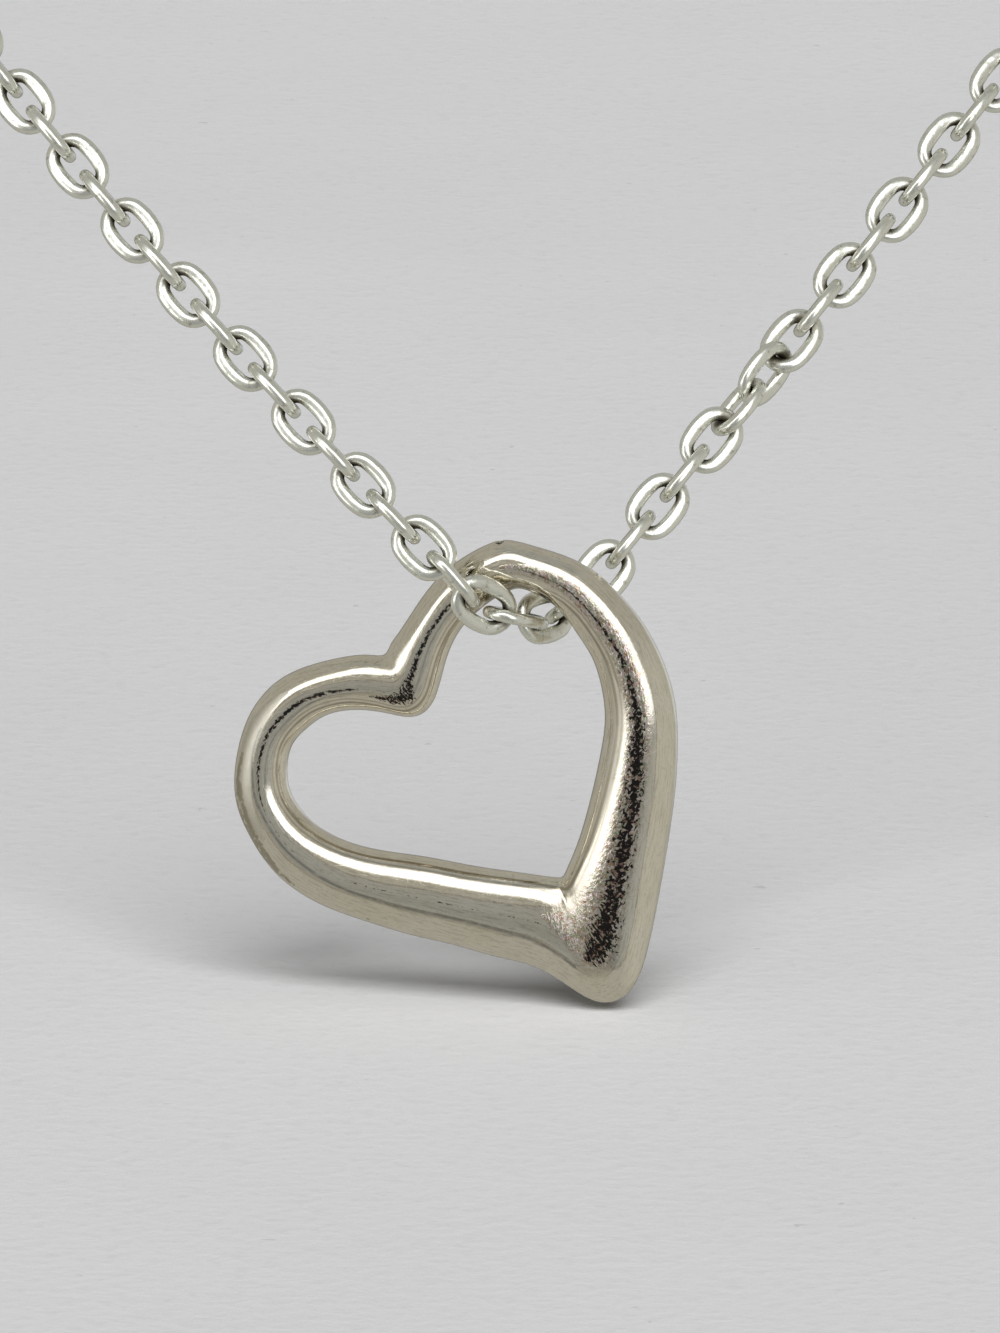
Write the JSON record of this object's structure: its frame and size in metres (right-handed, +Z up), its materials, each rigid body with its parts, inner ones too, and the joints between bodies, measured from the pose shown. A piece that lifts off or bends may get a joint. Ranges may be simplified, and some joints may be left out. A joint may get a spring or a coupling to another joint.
{
  "type": "heart pendant",
  "caption": "Open heart pendant of polished rounded tube, hanging by one lobe on a cable chain that a clasp closes at the nape.",
  "frame": {"origin": "middle of the clasp, where the necklace rests on the nape of the neck", "axes": "+Z up, +Y from the pendant back to the nape, +X to the right as seen from the front"},
  "size_m": [0.1149, 0.1116, 0.1138],
  "materials": {
    "heart_silver": "polished, finely worn",
    "chain_silver": "polished",
    "clasp_silver": "polished"
  },
  "bodies": {
    "necklace": {"chain": "chain_silver", "clasp": "clasp_silver"},
    "pendant": {"heart": "heart_silver"}
  },
  "joints": [
    {"name": "heart_swing", "type": "hinge", "parent": "necklace", "child": "pendant", "pos_m": [-0.00111, -0.10601, -0.09618], "axis": [0.2079, 0.9781, 0], "range_deg": [-30, 12]}
  ]
}
